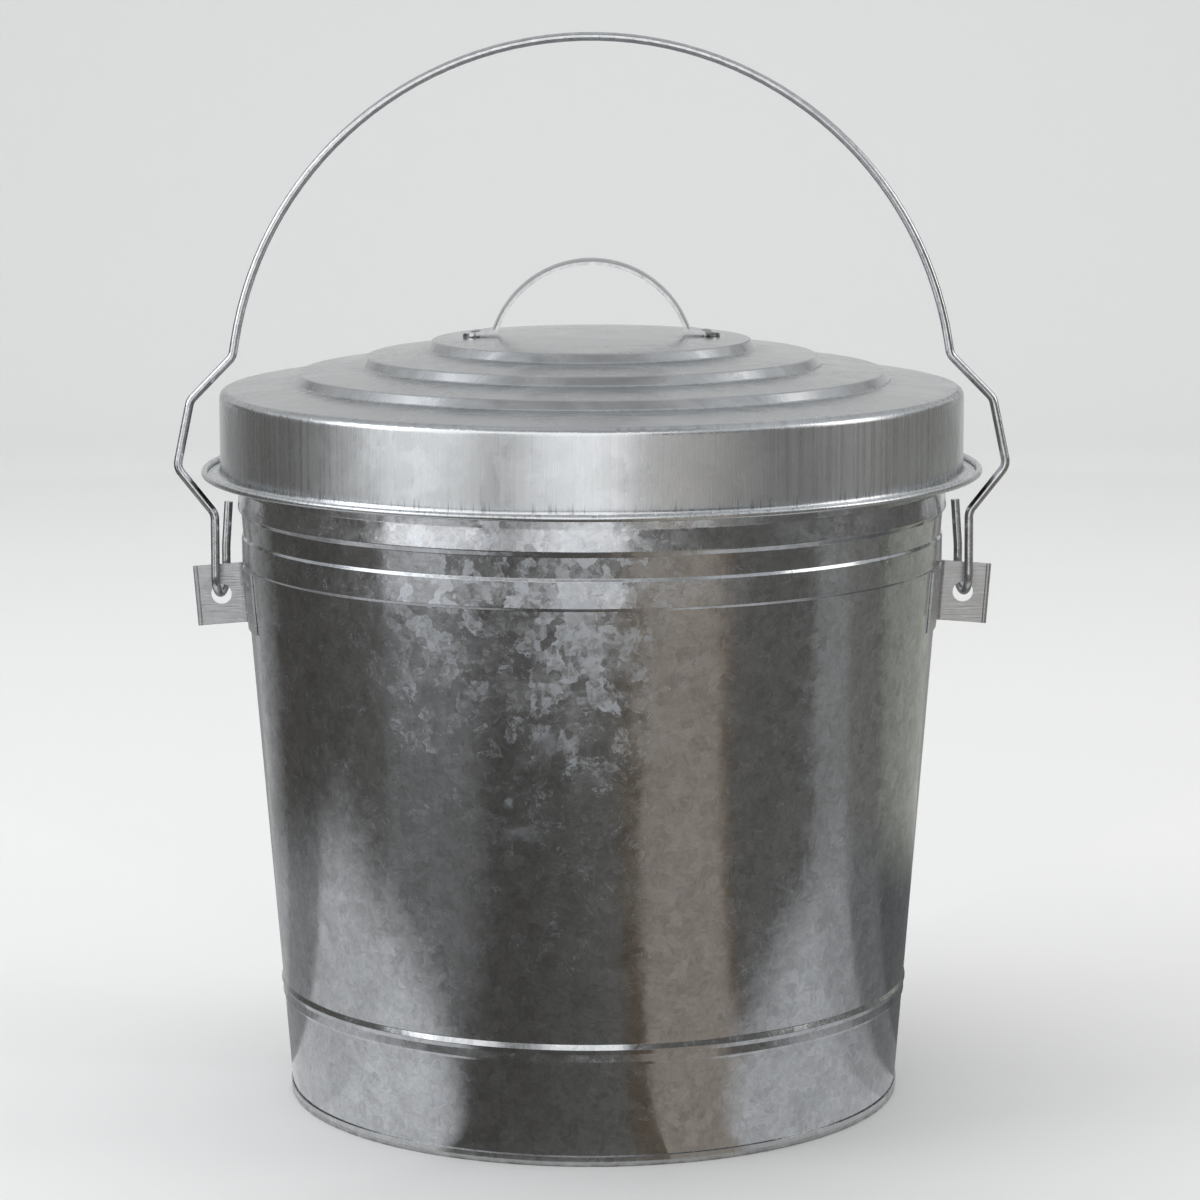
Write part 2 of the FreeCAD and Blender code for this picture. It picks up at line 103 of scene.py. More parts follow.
# ---------------------------------------------------------------------------
# Cards for the metal's gloss: polished zinc shows whatever stands round it, so plain
# cards lie on the floor, stand round it and hang overhead. Only glossy rays meet them.
# ---------------------------------------------------------------------------
card_paint = bpy.data.materials.new("card_paint")
card_paint.use_nodes = True
card_tree = card_paint.node_tree
card_tree.nodes.remove(card_tree.nodes["Principled BSDF"])
card_tone = card_tree.nodes.new("ShaderNodeAttribute")
card_tone.attribute_name = "tone"
card_shine = card_tree.nodes.new("ShaderNodeEmission")
card_tree.links.new(card_tone.outputs["Color"], card_shine.inputs["Color"])
card_tree.links.new(card_shine.outputs["Emission"], card_tree.nodes["Material Output"].inputs["Surface"])

CARD_FOOT = 0.146                # the floor cards start here, at the can's foot
CARD_HEIGHT = 0.002              # and lie this far above the floor
CARD_ROUND = 4.3                 # the upright cards stand at this distance
CARD_GAP_START, CARD_GAP_END = 1.08, 1.25     # some floor cards stop, and a brighter one goes on
CARD_MID, CARD_FAR_START, CARD_FAR = 2.4, 2.42, 4.2
SUNLIT_FRONT, SUNLIT_TURN, SUNLIT_REACH = 27, 58, 0.40   # angles over which the sunlit floor widens, how far


def hang_card(name, points, faces, tones):
    """Card with a tone at each of its points."""
    mesh = bpy.data.meshes.new(name)
    mesh.from_pydata(points, [], faces)
    layer = mesh.attributes.new("tone", "FLOAT_COLOR", "POINT")
    for index, tone in enumerate(tones):
        layer.data[index].color = (*tone, 1)
    mesh.materials.append(card_paint)
    card = bpy.data.objects.new(name, mesh)
    bpy.context.collection.objects.link(card)
    card.visible_camera = False
    card.visible_diffuse = False
    card.visible_shadow = False


def near_edge(azimuth):
    """Distance from the can's axis at which the sunlit floor ends: nearest at the front."""
    side = min(abs(azimuth), 360 - abs(azimuth))
    ease = min(1.0, max(0.0, (side - SUNLIT_FRONT) / SUNLIT_TURN))
    return CARD_FOOT + 0.001 + SUNLIT_REACH * ease ** 0.85


def mix_tones(start, end, part):
    """Tone part of the way from one to another."""
    return [a + (b - a) * part for a, b in zip(start, end)]


def floor_card(name, start, end, near, far, tone_start, tone_end, ground=1.0):
    """Sector of a ring on the floor, between two azimuths counted from the front to the right.

    Without a near radius it starts at the can's foot, where the floor is sunlit first.
    """
    points, tones = [], []
    count = max(2, int(abs(end - start) / 1.5))
    for i in range(count + 1):
        part = i / count
        azimuth = start + (end - start) * part
        tone = mix_tones(tone_start, tone_end, part)
        if near:
            rings = [(near, tone), (far, tone)]
        else:
            edge = near_edge(azimuth)
            open_floor = min(1.0, (edge - CARD_FOOT) / 0.03)
            sunlit = mix_tones(tone, [level * ground for level in SUNLIT], max(0.15, open_floor))
            lit = mix_tones(tone, [level * ground for level in LIT], open_floor)
            rings = [(CARD_FOOT, sunlit), (max(CARD_FOOT + 0.001, edge * 0.82), lit),
                     (max(CARD_FOOT + 0.002, edge * 1.16), tone), (far, tone)]
        for radius, shade in rings:
            points.append((radius * math.sin(math.radians(azimuth)),
                           -radius * math.cos(math.radians(azimuth)), CARD_HEIGHT))
            tones.append(shade)
    wide = len(rings)
    hang_card(name, points, [(wide * i + j, wide * (i + 1) + j, wide * (i + 1) + j + 1, wide * i + j + 1)
                             for i in range(count) for j in range(wide - 1)], tones)


def upright_card(name, start, end, tone_start, tone_end, low=0.0, high=1.5):
    """Strip standing round the floor's rim, between two azimuths and two heights."""
    points, tones = [], []
    count = max(2, int(abs(end - start) / 4))
    for i in range(count + 1):
        azimuth = math.radians(start + (end - start) * i / count)
        for height in (low, high):
            points.append((CARD_ROUND * math.sin(azimuth), -CARD_ROUND * math.cos(azimuth), height))
            tones.append(mix_tones(tone_start, tone_end, i / count))
    hang_card(name, points, [(2 * i, 2 * i + 2, 2 * i + 3, 2 * i + 1) for i in range(count)], tones)


DARK, SHADE, MID, PALE = (0.105, 0.101, 0.095), (0.16, 0.157, 0.148), (0.22, 0.22, 0.218), (0.34, 0.34, 0.335)
WARM, LEAF, BRIGHT = (0.40, 0.355, 0.305), (0.33, 0.345, 0.30), (0.55, 0.56, 0.57)
BROWN, SKY, OVERHEAD = (0.14, 0.12, 0.095), (1.5, 1.5, 1.5), (0.42, 0.42, 0.42)
SUNLIT, LIT, OPEN = (0.64, 0.65, 0.66), (0.62, 0.63, 0.64), (1.45, 1.46, 1.47)
floor_card("card_left_rim", -150, -124, None, CARD_MID, BRIGHT, SHADE, 0.75)
floor_card("card_left_shade", -124, -98, None, CARD_MID, DARK, DARK, 0.50)
floor_card("card_left_dim", -98, -66, None, CARD_MID, DARK, SHADE, 1.1)
floor_card("card_left_mid", -66, -40, None, CARD_GAP_START, MID, MID, 1.3)
floor_card("card_left_edge", -40, -30, None, CARD_MID, MID, DARK, 1.2)
floor_card("card_front_left", -30, -18, None, CARD_MID, DARK, DARK)
floor_card("card_front", -18, 8, None, CARD_GAP_START, DARK, SHADE)
floor_card("card_front_brown", 8, 14, None, CARD_MID, BROWN, (0.16, 0.13, 0.10))
floor_card("card_warm", 14, 39.5, None, CARD_MID, WARM, WARM)
floor_card("card_warm_edge", 39.5, 42, None, CARD_MID, (0.22, 0.17, 0.13), (0.18, 0.15, 0.12))
floor_card("card_right_shade", 42, 73, None, CARD_MID, SHADE, SHADE)
floor_card("card_right_strip", 73, 88, None, CARD_MID, PALE, PALE, 0.75)
floor_card("card_right_dim", 88, 107, None, CARD_MID, (0.25, 0.245, 0.23), (0.22, 0.22, 0.20), 0.36)
floor_card("card_right_rim", 107, 150, None, CARD_MID, LEAF, (0.50, 0.51, 0.46), 0.22)
floor_card("card_back", 150, 210, None, CARD_MID, PALE, PALE, 0.6)
floor_card("card_mid_left", -66, -40, CARD_GAP_END, CARD_MID, BRIGHT, LIT)
floor_card("card_mid_front", -18, 8, CARD_GAP_END, CARD_MID, BRIGHT, OPEN)
floor_card("card_far_left", -92, -62, CARD_FAR_START, CARD_FAR, MID, OPEN)
floor_card("card_far_front", -62, 24, CARD_FAR_START, CARD_FAR, OPEN, OPEN)
floor_card("card_far_right", 24, 58, CARD_FAR_START, CARD_FAR, OPEN, MID)
floor_card("card_far_right_dark", 58, 150, CARD_FAR_START, CARD_FAR, SHADE, DARK)
floor_card("card_far_left_dark", -150, -92, CARD_FAR_START, CARD_FAR, DARK, SHADE)
upright_card("card_round_left", -160, -68, DARK, SHADE)
upright_card("card_round_mid", -68, -34, OPEN, OPEN)
upright_card("card_round_edge", -34, -18, PALE, BRIGHT)
upright_card("card_round_front", -18, 12, OPEN, OPEN)
upright_card("card_round_right", 12, 60, SHADE, SHADE)
upright_card("card_round_side", 60, 160, MID, SHADE)
upright_card("card_sky_front", -58, 24, SKY, SKY, 1.55, 3.9)
hang_card("card_overhead", [(-1.1, -1.7, 1.9), (1.1, -1.7, 1.9), (1.1, -0.65, 1.9), (-1.1, -0.65, 1.9)],
          [(0, 3, 2, 1)], [OVERHEAD] * 4)


# ---------------------------------------------------------------------------
# Side wall: rolled from one steel sheet and hot-dip galvanized, so its zinc has
# frozen into crystals, called spangle, some bright and some frosted.
# ---------------------------------------------------------------------------
HALF = (0.5, 0.5, 0.5)            # the middle of a noise's colours


def put(tree, kind, sockets=None, **settings):
    """New node with its settings; a socket gets a plain value or a link from another node."""
    made = tree.nodes.new(kind)
    for key, value in settings.items():
        setattr(made, key, value)
    for key, value in (sockets or {}).items():
        if isinstance(value, bpy.types.NodeSocket):
            tree.links.new(value, made.inputs[key])
        else:
            made.inputs[key].default_value = value
    return made


def calc(tree, operation, a, b=0.0):
    """Output of one sum."""
    return put(tree, "ShaderNodeMath", {0: a, 1: b}, operation=operation).outputs[0]


def move(tree, operation, a, b=(0, 0, 0)):
    """Output of one vector sum."""
    return put(tree, "ShaderNodeVectorMath", {0: a, 1: b}, operation=operation).outputs[0]


def scaled(tree, vector, scale):
    """Vector made longer or shorter."""
    return put(tree, "ShaderNodeVectorMath", {0: vector, "Scale": scale}, operation="SCALE").outputs[0]


def ramp(tree, value, low, high, to_low=0.0, to_high=1.0, soft=False):
    """Value spread from one range to another."""
    kind = "SMOOTHSTEP" if soft else "LINEAR"
    return put(tree, "ShaderNodeMapRange", {"Value": value, "From Min": low, "From Max": high,
                                            "To Min": to_low, "To Max": to_high},
               interpolation_type=kind).outputs["Result"]


def grain(tree, vector, scale, detail=2.0, rough=0.5, distort=0.0):
    """Plain noise and its colours."""
    return put(tree, "ShaderNodeTexNoise", {"Vector": vector, "Scale": scale, "Detail": detail,
                                            "Roughness": rough, "Distortion": distort})


def blend(tree, share, a, b):
    """Mix of two colours."""
    return put(tree, "ShaderNodeMix", {0: share, 6: a, 7: b}, data_type="RGBA").outputs[2]


def new_effect(name, inputs, outputs):
    """Empty node group with its sockets: a name and a default for each input."""
    tree = bpy.data.node_groups.new(name, "ShaderNodeTree")
    for label, default in inputs:
        kind = "NodeSocketVector" if isinstance(default, tuple) else "NodeSocketFloat"
        socket = tree.interface.new_socket(label, in_out="INPUT", socket_type=kind)
        socket.default_value = default
    for label, kind in outputs:
        tree.interface.new_socket(label, in_out="OUTPUT", socket_type=kind)
    return tree, put(tree, "NodeGroupInput").outputs, put(tree, "NodeGroupOutput").inputs


def make_spangle():
    """Crystals of zinc: a tint, a frost value and a normal that leans with each crystal."""
    tree, given, result = new_effect(
        "zinc_spangle",
        [("Vector", (0.0, 0.0, 0.0)), ("Crystals per metre", 90.0), ("Lean", 0.04), ("Waves", 0.02)],
        [("Tint", "NodeSocketFloat"), ("Frost", "NodeSocketFloat"), ("Normal", "NodeSocketVector")])
    face = put(tree, "ShaderNodeNewGeometry").outputs["Normal"]
    per_metre = given["Crystals per metre"]
    crooked = grain(tree, given["Vector"], calc(tree, "MULTIPLY", per_metre, 1.4), 3.0, 0.6)
    crooked = move(tree, "SUBTRACT", crooked.outputs["Color"], HALF)
    push = scaled(tree, crooked, calc(tree, "DIVIDE", 0.65, per_metre))
    place = move(tree, "ADD", given["Vector"], push)
    cell = put(tree, "ShaderNodeTexVoronoi", {"Vector": place, "Scale": per_metre, "Randomness": 1.0},
               distance="CHEBYCHEV")
    parts = put(tree, "ShaderNodeSeparateColor", {0: cell.outputs["Color"]}).outputs
    turned = put(tree, "ShaderNodeVectorRotate", {
        "Vector": move(tree, "SUBTRACT", place, cell.outputs["Position"]),
        "Axis": face, "Angle": calc(tree, "MULTIPLY", parts[0], 2 * math.pi)}, rotation_type="AXIS_ANGLE")
    drawn = move(tree, "MULTIPLY", turned.outputs[0], (1.0, 0.35, 0.12))
    drawn = move(tree, "ADD", drawn, cell.outputs["Color"])
    feather = grain(tree, drawn, calc(tree, "MULTIPLY", per_metre, 7.0), 3.0, 0.65).outputs[0]
    feather = ramp(tree, feather, 0.32, 0.68)
    fine = put(tree, "ShaderNodeTexVoronoi", {"Vector": place, "Scale": calc(tree, "MULTIPLY", per_metre, 2.7)},
               distance="MANHATTAN")
    fine_parts = put(tree, "ShaderNodeSeparateColor", {0: fine.outputs["Color"]}).outputs
    for label, channel, crystal_share, feather_share in (("Tint", 1, 0.35, 0.35), ("Frost", 2, 0.34, 0.36)):
        drawn_share = calc(tree, "ADD", calc(tree, "MULTIPLY", feather, feather_share),
                           calc(tree, "MULTIPLY", fine_parts[channel], 0.30))
        crystal = calc(tree, "MULTIPLY", parts[channel], crystal_share)
        tree.links.new(calc(tree, "ADD", crystal, drawn_share), result[label])
    mixed = blend(tree, 0.35, cell.outputs["Color"], fine.outputs["Color"])
    lean = scaled(tree, move(tree, "SUBTRACT", mixed, HALF), given["Lean"])
    long_way = move(tree, "MULTIPLY", given["Vector"], (1.0, 1.0, 0.4))
    wave = move(tree, "SUBTRACT", grain(tree, long_way, 14.0, 2.0).outputs["Color"], HALF)
    wave = scaled(tree, wave, given["Waves"])
    leaned = move(tree, "ADD", move(tree, "ADD", face, lean), wave)
    tree.links.new(move(tree, "NORMALIZE", leaned), result["Normal"])
    return tree


def make_patch():
    """Soft oval patch on a surface: 1 in its middle, 0 outside its reach."""
    tree, given, result = new_effect(
        "soft_patch",
        [("Vector", (0.0, 0.0, 0.0)), ("Centre", (0.0, 0.0, 0.0)), ("Reach", (0.1, 0.1, 0.1)), ("Ragged", 0.3)],
        [("Mask", "NodeSocketFloat")])
    away = move(tree, "DIVIDE", move(tree, "SUBTRACT", given["Vector"], given["Centre"]), given["Reach"])
    size = put(tree, "ShaderNodeVectorMath", {0: away}, operation="LENGTH").outputs["Value"]
    uneven = calc(tree, "SUBTRACT", grain(tree, away, 2.5, 4.0).outputs[0], 0.5)
    ragged = calc(tree, "MULTIPLY", uneven, given["Ragged"])
    tree.links.new(ramp(tree, calc(tree, "ADD", size, ragged), 1.0, 0.25, soft=True), result["Mask"])
    return tree


spangle = make_spangle()
soft_patch = make_patch()


def new_metal(name):
    """Bare metal material: its tree, its shader's inputs and the place on the piece."""
    material = bpy.data.materials.new(name)
    material.use_nodes = True
    tree = material.node_tree
    shader = tree.nodes["Principled BSDF"].inputs
    shader["Metallic"].default_value = 1.0
    return material, tree, shader, put(tree, "ShaderNodeTexCoord").outputs["Object"]


def crystals_at(tree, place, per_metre, lean, waves):
    """Outputs of the zinc crystals at a place."""
    return put(tree, "ShaderNodeGroup", {"Vector": place, "Crystals per metre": per_metre, "Lean": lean,
                                         "Waves": waves}, node_tree=spangle).outputs


def patch_at(tree, place, centre, reach, ragged):
    """Mask of one soft patch."""
    return put(tree, "ShaderNodeGroup", {"Vector": place, "Centre": centre, "Reach": reach, "Ragged": ragged},
               node_tree=soft_patch).outputs["Mask"]


def finish_node(node, material):
    """Gives a CAD node its material."""
    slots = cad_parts[node].data.materials
    for index in range(len(slots)):
        slots[index] = material


WALL_MARKS = (                   # pale drips and specks left in the zinc: centre, reach, strength
    ((-0.037, -0.155, 0.168), (0.0030, 0.02, 0.0035), 0.9),
    ((-0.030, -0.153, 0.154), (0.0140, 0.02, 0.0050), 0.5),
    ((-0.020, -0.158, 0.196), (0.0060, 0.02, 0.0090), 0.5),
    ((0.095, -0.125, 0.130), (0.0012, 0.03, 0.0120), 0.6),
    ((-0.090, 0.130, 0.180), (0.0120, 0.03, 0.0070), 0.5),
    ((0.120, 0.110, 0.110), (0.0050, 0.03, 0.0110), 0.5),
)
CREST_CENTRE, CREST_REACH = (-0.022, -0.165, 0.238), (0.098, 0.15, 0.092)   # the most frosted place


def wall_zinc():
    """Bright zinc with frosted crystals, thickest high on the front and in loose patches elsewhere."""
    material, tree, shader, place = new_metal("wall_zinc")
    crest = patch_at(tree, place, CREST_CENTRE, CREST_REACH, 0.9)
    loose = ramp(tree, grain(tree, place, 11.0, 3.0).outputs[0], 0.48, 0.68, soft=True)
    lean = calc(tree, "ADD", 0.020, calc(tree, "MULTIPLY", crest, 0.11))
    crystals = crystals_at(tree, place, 150.0, lean, 0.022)
    threshold = calc(tree, "SUBTRACT", 0.66, calc(tree, "ADD", calc(tree, "MULTIPLY", crest, 0.175),
                                                  calc(tree, "MULTIPLY", loose, 0.08)))
    frost = ramp(tree, calc(tree, "SUBTRACT", crystals["Frost"], threshold), 0.0, 0.45)
    for centre, reach, strength in WALL_MARKS:
        mark = calc(tree, "MULTIPLY", patch_at(tree, place, centre, reach, 1.2), strength)
        frost = calc(tree, "MAXIMUM", frost, mark)
    haze = ramp(tree, grain(tree, place, 75.0, 5.0, 0.68).outputs[0], 0.36, 0.66, soft=True)
    body = blend(tree, crystals["Tint"], (0.34, 0.345, 0.35, 1), (0.58, 0.59, 0.61, 1))
    body = blend(tree, calc(tree, "MULTIPLY", frost, 0.6), body, (0.46, 0.505, 0.58, 1))
    tree.links.new(body, shader["Base Color"])
    rough = calc(tree, "ADD", ramp(tree, haze, 0.0, 1.0, 0.10, 0.20), calc(tree, "MULTIPLY", frost, 0.21))
    cloudy = calc(tree, "ADD", calc(tree, "MULTIPLY", loose, 0.03), calc(tree, "MULTIPLY", crest, 0.11))
    tree.links.new(calc(tree, "ADD", rough, cloudy), shader["Roughness"])
    tree.links.new(crystals["Normal"], shader["Normal"])
    return material


finish_node("side_wall", wall_zinc())


# ---------------------------------------------------------------------------
# Bottom: pressed from zinc-coated sheet, its edge folded round the wall's lower end.
# The fold is rubbed duller than the wall where it stands on the ground.
# ---------------------------------------------------------------------------
SCUFF_HEIGHT = 0.0025            # the scuffs reach this high above the ground


def pan_zinc():
    """Duller zinc, scuffed round its lowest edge."""
    material, tree, shader, place = new_metal("pan_zinc")
    crystals = crystals_at(tree, place, 95.0, 0.03, 0.02)
    height = put(tree, "ShaderNodeSeparateXYZ", {0: place}).outputs["Z"]
    low = ramp(tree, height, SCUFF_HEIGHT, 0.0, soft=True)
    scuff = calc(tree, "MULTIPLY", low, ramp(tree, grain(tree, place, 150.0, 4.0).outputs[0], 0.4, 0.65))
    body = blend(tree, crystals["Tint"], (0.38, 0.385, 0.39, 1), (0.52, 0.525, 0.53, 1))
    tree.links.new(blend(tree, scuff, body, (0.24, 0.23, 0.215, 1)), shader["Base Color"])
    rough = ramp(tree, crystals["Frost"], 0.3, 0.75, 0.24, 0.42)
    tree.links.new(calc(tree, "ADD", rough, calc(tree, "MULTIPLY", scuff, 0.25)), shader["Roughness"])
    tree.links.new(crystals["Normal"], shader["Normal"])
    return material


finish_node("bottom_pan", pan_zinc())


# ---------------------------------------------------------------------------
# Mouth wire: a drawn steel ring, zinc-coated, that the wall's mouth is rolled over.
# Only the lid's underside faces it.
# ---------------------------------------------------------------------------
def wire_zinc(name, dark, light, rough_low, rough_high, along):
    """Drawn wire or strap: fine lines along its length and a few dull specks."""
    material, tree, shader, place = new_metal(name)
    lines = grain(tree, move(tree, "MULTIPLY", place, along), 900.0, 3.0, 0.6).outputs[0]
    specks = ramp(tree, grain(tree, place, 700.0, 2.0).outputs[0], 0.60, 0.72, soft=True)
    cloud = ramp(tree, grain(tree, place, 45.0, 3.0).outputs[0], 0.3, 0.7)
    body = blend(tree, ramp(tree, lines, 0.3, 0.7), (*dark, 1), (*light, 1))
    tree.links.new(blend(tree, calc(tree, "MULTIPLY", specks, 0.35), body, (0.34, 0.34, 0.335, 1)),
                   shader["Base Color"])
    rough = calc(tree, "ADD", ramp(tree, cloud, 0.0, 1.0, rough_low, rough_high),
                 calc(tree, "MULTIPLY", specks, 0.15))
    tree.links.new(rough, shader["Roughness"])
    bump = put(tree, "ShaderNodeBump", {"Height": lines, "Strength": 0.08, "Distance": 0.0004})
    tree.links.new(bump.outputs["Normal"], shader["Normal"])
    return material


ring_coat = wire_zinc("ring_zinc", (0.46, 0.465, 0.47), (0.60, 0.605, 0.61), 0.22, 0.32, (1, 1, 1))
finish_node("mouth_wire", ring_coat)


# ---------------------------------------------------------------------------
# Ears: a strip of brushed zinc-coated steel folded double on each side, with a
# hole for the bail. Its two spread feet are held to the wall by spot welds.
# ---------------------------------------------------------------------------
EAR_FOOT_R, EAR_TILT, EAR_Z = 0.16385, math.atan(0.0765), 0.239
WELD_PLACES = [(along, rise) for along in (-0.036, -0.019, 0.019, 0.036) for rise in (-0.0075, 0.0075)]


def ear_zinc():
    """Paler zinc with lines brushed across the strip."""
    material, tree, shader, place = new_metal("ear_zinc")
    brushed = grain(tree, move(tree, "MULTIPLY", place, (0.05, 0.12, 1.0)), 1400.0, 4.0, 0.6).outputs[0]
    crystals = crystals_at(tree, place, 160.0, 0.05, 0.02)
    dull = ramp(tree, crystals["Frost"], 0.45, 0.7, soft=True)
    body = blend(tree, ramp(tree, brushed, 0.3, 0.7), (0.42, 0.43, 0.44, 1), (0.64, 0.645, 0.65, 1))
    tree.links.new(blend(tree, calc(tree, "MULTIPLY", dull, 0.4), body, (0.44, 0.445, 0.45, 1)),
                   shader["Base Color"])
    tree.links.new(ramp(tree, brushed, 0.3, 0.7, 0.26, 0.42), shader["Roughness"])
    bump = put(tree, "ShaderNodeBump", {"Height": brushed, "Strength": 0.22, "Distance": 0.0004,
                                        "Normal": crystals["Normal"]})
    tree.links.new(bump.outputs["Normal"], shader["Normal"])
    return material


ear_coat = ear_zinc()
finish_node("left_ear", ear_coat)
finish_node("right_ear", ear_coat)


def weld_tree(coat):
    """Tree that sets a low round spot on every point, facing along the point's own direction."""
    tree = bpy.data.node_groups.new("weld_spots", "GeometryNodeTree")
    tree.interface.new_socket("Geometry", in_out="INPUT", socket_type="NodeSocketGeometry")
    for label, default in (("Spot radius", 0.0027), ("Spot height", 0.0003)):
        socket = tree.interface.new_socket(label, in_out="INPUT", socket_type="NodeSocketFloat")
        socket.default_value = default
    tree.interface.new_socket("Geometry", in_out="OUTPUT", socket_type="NodeSocketGeometry")
    given = put(tree, "NodeGroupInput").outputs
    ball = put(tree, "GeometryNodeMeshUVSphere", {"Segments": 24, "Rings": 12, "Radius": 1.0})
    size = put(tree, "ShaderNodeCombineXYZ", {"X": given["Spot radius"], "Y": given["Spot radius"],
                                              "Z": given["Spot height"]})
    low = put(tree, "GeometryNodeTransform", {"Geometry": ball.outputs["Mesh"], "Scale": size.outputs[0]})
    facing = put(tree, "GeometryNodeInputNamedAttribute", {"Name": "facing"}, data_type="FLOAT_VECTOR")
    turn = put(tree, "FunctionNodeAlignRotationToVector", {"Vector": facing.outputs["Attribute"]}, axis="Z")
    spots = put(tree, "GeometryNodeInstanceOnPoints", {"Points": given["Geometry"], "Instance": low.outputs[0],
                                                       "Rotation": turn.outputs[0]})
    solid = put(tree, "GeometryNodeRealizeInstances", {"Geometry": spots.outputs[0]})
    smooth = put(tree, "GeometryNodeSetShadeSmooth", {"Geometry": solid.outputs[0]})
    coated = put(tree, "GeometryNodeSetMaterial", {"Geometry": smooth.outputs[0], "Material": coat})
    tree.links.new(coated.outputs[0], put(tree, "NodeGroupOutput").inputs["Geometry"])
    return tree


def weld_spots():
    """Spot welds of both ears as one mesh."""
    places, facings = [], []
    for side in (-1, 1):
        for along, rise in WELD_PLACES:
            out = math.sqrt(EAR_FOOT_R ** 2 - along ** 2)
            normal = Vector((out / EAR_FOOT_R, along / EAR_FOOT_R, 0.0))
            normal = Vector((side * normal.x * math.cos(EAR_TILT), normal.y, -normal.x * math.sin(EAR_TILT)))
            places.append((side * (out + rise * math.tan(EAR_TILT)), along, EAR_Z + rise))
            facings.append(normal)
    mesh = bpy.data.meshes.new("weld_points")
    mesh.from_pydata(places, [], [])
    layer = mesh.attributes.new("facing", "FLOAT_VECTOR", "POINT")
    for index, facing in enumerate(facings):
        layer.data[index].vector = facing
    spots = bpy.data.objects.new("ear_welds", mesh)
    bpy.context.collection.objects.link(spots)
    maker = spots.modifiers.new("weld_spots", "NODES")
    maker.node_group = weld_tree(ear_coat)
    seen = spots.evaluated_get(bpy.context.evaluated_depsgraph_get())
    spots.data = bpy.data.meshes.new_from_object(seen)
    spots.modifiers.remove(maker)
    return spots


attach(weld_spots(), "can")


# ---------------------------------------------------------------------------
# Lid: pressed from one zinc-coated sheet. The top is cloudy with drawing marks and
# small puckers at the foot of each step, darkened with painted shade; the skirt shows
# fine upright lines and painted shade in the crimps at its foot.
# ---------------------------------------------------------------------------
LID_SKIRT_TOP = 0.334
LID_STEP_FOOT, LID_STEP_PITCH, PUCKER_REACH = 0.0770, 0.0314, 0.010
BRIM_TURN_LOW, BRIM_TURN_HIGH = (0.2978, 0.2995), (0.3045, 0.3005)   # where the painted crimp shade fades in and out
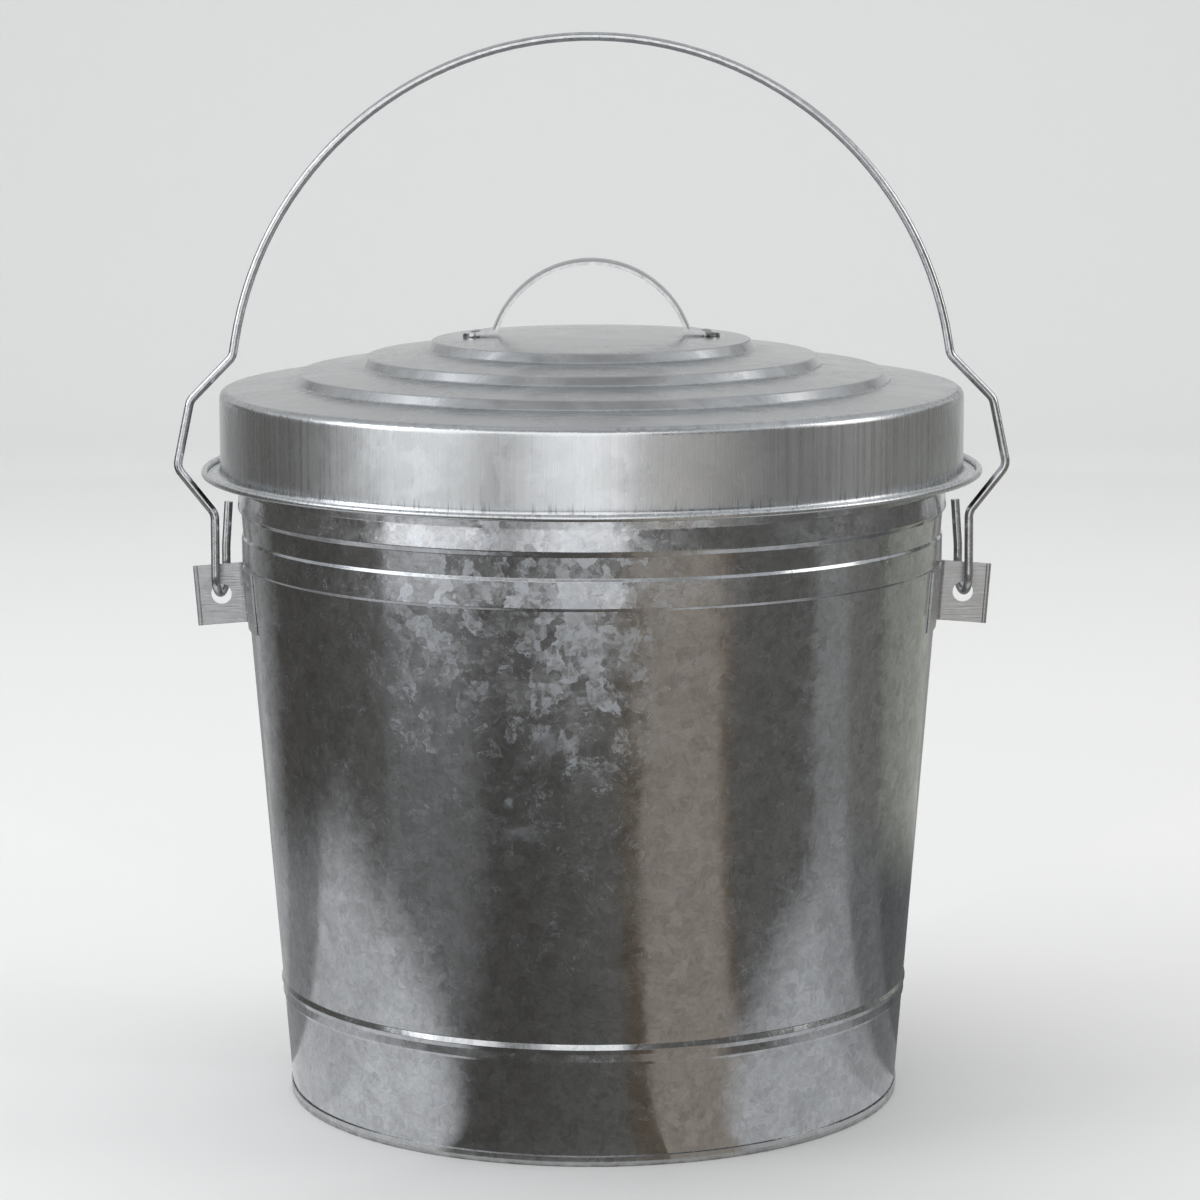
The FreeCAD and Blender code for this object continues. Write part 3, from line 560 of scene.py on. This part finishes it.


def lid_zinc():
    """Cloudy zinc on top and upright draw lines on the skirt; painted shade darkens the puckers at the step
    feet and the crimps at the skirt's foot.
    """
    material, tree, shader, place = new_metal("lid_zinc")
    apart = put(tree, "ShaderNodeSeparateXYZ", {0: place}).outputs
    on_top = ramp(tree, apart["Z"], LID_SKIRT_TOP, LID_SKIRT_TOP + 0.002)
    crystals = crystals_at(tree, place, 70.0, 0.035, 0.03)
    upright = grain(tree, move(tree, "MULTIPLY", place, (1.0, 1.0, 0.012)), 480.0, 3.0, 0.6).outputs[0]
    clouds = grain(tree, move(tree, "MULTIPLY", place, (0.6, 1.4, 1.0)), 26.0, 5.0, 0.62, 1.2).outputs[0]
    drawn = grain(tree, move(tree, "MULTIPLY", place, (0.07, 1.0, 1.0)), 420.0, 3.0, 0.6).outputs[0]

    # Puckers: short radial folds in the sheet just outside each step, raised by the bump and darkened with
    # painted shade
    flat = put(tree, "ShaderNodeCombineXYZ", {"X": apart["X"], "Y": apart["Y"]}).outputs[0]
    reach = put(tree, "ShaderNodeVectorMath", {0: flat}, operation="LENGTH").outputs["Value"]
    round_about = grain(tree, move(tree, "NORMALIZE", flat), 34.0, 3.0, 0.6).outputs[0]
    after_step = put(tree, "ShaderNodeMath", {0: calc(tree, "SUBTRACT", reach, LID_STEP_FOOT),
                                              1: LID_STEP_PITCH, 2: 0.0}, operation="WRAP").outputs[0]
    near_step = calc(tree, "MULTIPLY", ramp(tree, after_step, PUCKER_REACH, 0.0, soft=True),
                     ramp(tree, reach, 0.070, 0.076))
    pucker_relief_and_shade = calc(tree, "MULTIPLY", calc(tree, "MULTIPLY", near_step, on_top),
                  ramp(tree, round_about, 0.50, 0.66, soft=True))

    # Painted shade: short dark lines where the skirt turns out into the brim, standing for the shade in its
    # small crimps
    crimp_shade_lines = grain(tree, move(tree, "MULTIPLY", place, (1.0, 1.0, 0.02)), 620.0, 2.0).outputs[0]
    low = calc(tree, "MULTIPLY", ramp(tree, apart["Z"], *BRIM_TURN_HIGH),
               ramp(tree, apart["Z"], *BRIM_TURN_LOW))
    crimp_shade = calc(tree, "MULTIPLY", ramp(tree, crimp_shade_lines, 0.56, 0.64, soft=True), low)

    skirt = blend(tree, ramp(tree, upright, 0.30, 0.70), (0.60, 0.615, 0.63, 1), (0.68, 0.69, 0.70, 1))
    top = blend(tree, ramp(tree, clouds, 0.34, 0.66), (0.41, 0.415, 0.42, 1), (0.56, 0.565, 0.57, 1))
    top = blend(tree, calc(tree, "MULTIPLY", ramp(tree, drawn, 0.35, 0.65), 0.25), top, (0.62, 0.625, 0.63, 1))
    body = blend(tree, on_top, skirt, top)
    body = blend(tree, calc(tree, "MULTIPLY", crystals["Tint"], 0.30), body, (0.44, 0.455, 0.47, 1))
    # painted shade: darkens the crimps where the skirt turns out into the brim
    body = blend(tree, calc(tree, "MULTIPLY", crimp_shade, 0.50), body, (0.20, 0.20, 0.20, 1))
    # painted shade: darkens the puckers' folds at the foot of each step
    tree.links.new(blend(tree, calc(tree, "MULTIPLY", pucker_relief_and_shade, 0.35), body, (0.30, 0.305, 0.31, 1)),
                   shader["Base Color"])
    skirt_rough = ramp(tree, upright, 0.3, 0.7, 0.24, 0.32)
    top_rough = ramp(tree, clouds, 0.34, 0.66, 0.17, 0.31)
    rough = put(tree, "ShaderNodeMix", {0: on_top, 2: skirt_rough, 3: top_rough}, data_type="FLOAT").outputs[0]
    tree.links.new(rough, shader["Roughness"])
    lines = calc(tree, "MULTIPLY", upright, ramp(tree, on_top, 1.0, 0.0, 0.0, 0.3))
    height = calc(tree, "ADD", lines, calc(tree, "MULTIPLY", pucker_relief_and_shade, 2.5))
    bump = put(tree, "ShaderNodeBump", {"Height": height, "Strength": 0.25, "Distance": 0.0004,
                                        "Normal": crystals["Normal"]})
    tree.links.new(bump.outputs["Normal"], shader["Normal"])
    return material


finish_node("lid_shell", lid_zinc())


# ---------------------------------------------------------------------------
# Lid handle: a crowned strap of bright zinc-coated steel bent into an arch, its
# cut edges shining, riveted down through a flat foot at each end.
# ---------------------------------------------------------------------------
strap_coat = wire_zinc("strap_zinc", (0.40, 0.405, 0.41), (0.55, 0.555, 0.56), 0.17, 0.26, (0.25, 1.0, 0.25))
finish_node("lid_handle", strap_coat)


# ---------------------------------------------------------------------------
# Handle rivets: soft steel, set with a low round head over each foot.
# ---------------------------------------------------------------------------
rivet_coat = wire_zinc("rivet_zinc", (0.42, 0.425, 0.43), (0.56, 0.565, 0.57), 0.26, 0.38, (1, 1, 1))
finish_node("lid_handle_rivets", rivet_coat)


# ---------------------------------------------------------------------------
# Bail: one length of bright 4 mm wire, bent to an arch with a kink at each side
# that catches the lid, and hooked through both ears.
# ---------------------------------------------------------------------------
bail_coat = wire_zinc("bail_zinc", (0.44, 0.45, 0.46), (0.62, 0.63, 0.64), 0.15, 0.25, (0.35, 1.0, 0.35))
finish_node("bail", bail_coat)
